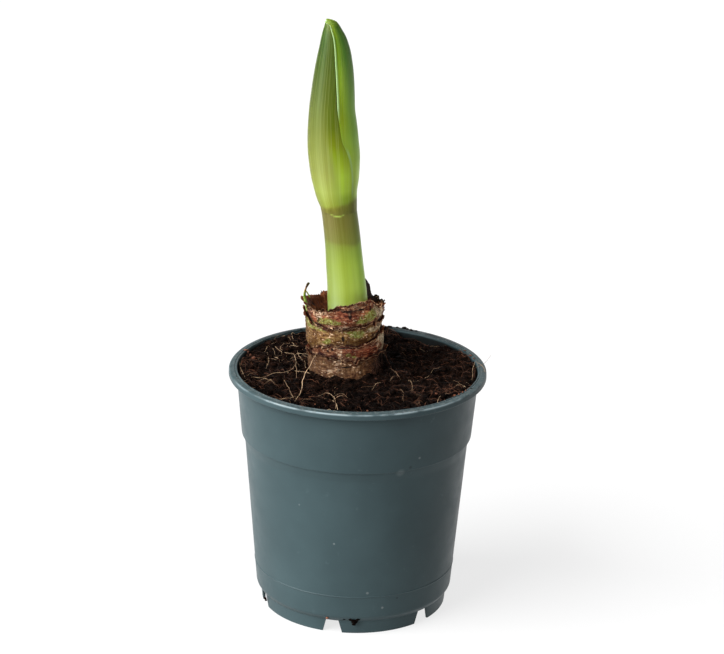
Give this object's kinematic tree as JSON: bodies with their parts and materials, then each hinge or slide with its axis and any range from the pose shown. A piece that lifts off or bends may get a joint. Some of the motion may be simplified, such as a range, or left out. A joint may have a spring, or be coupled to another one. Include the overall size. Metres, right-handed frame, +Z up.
{
  "type": "potted amaryllis",
  "caption": "Amaryllis bulb in a plastic nursery pot of peat, its torn brown neck above the soil, with one green stalk carrying a closed bud.",
  "frame": {"origin": "centre of the pot's base, on the surface that it stands on", "axes": "+Z up along the pot's axis, -Y towards the viewer of the picture, +X to the viewer's right"},
  "size_m": [0.13, 0.13, 0.3027],
  "materials": {
    "pot_plastic": "satin moulded plastic, dark grey-teal",
    "peat": "damp dark peat with tan fibres",
    "bulb_flesh": "matte fleshy scales",
    "tunic_paper": "dry papery scale leaf, brown with green patches",
    "withered_leaf": "withered green leaf with a brown tip",
    "scape_green": "satin light green stalk",
    "spathe_left_green": "satin olive green with fine lengthwise veins",
    "spathe_right_green": "satin green with fine lengthwise veins",
    "flower_bud_green": "pale young flower buds"
  },
  "bodies": {
    "root": {"pot": "pot_plastic", "soil": "peat", "bulb": "bulb_flesh", "tunic_1": "tunic_paper", "tunic_2": "tunic_paper", "tunic_3": "tunic_paper", "tunic_4": "tunic_paper", "tunic_5": "tunic_paper", "leaf_strand": "withered_leaf", "scape": "scape_green", "spathe_left": "spathe_left_green", "spathe_right": "spathe_right_green", "flower_buds": "flower_bud_green"}
  },
  "joints": []
}
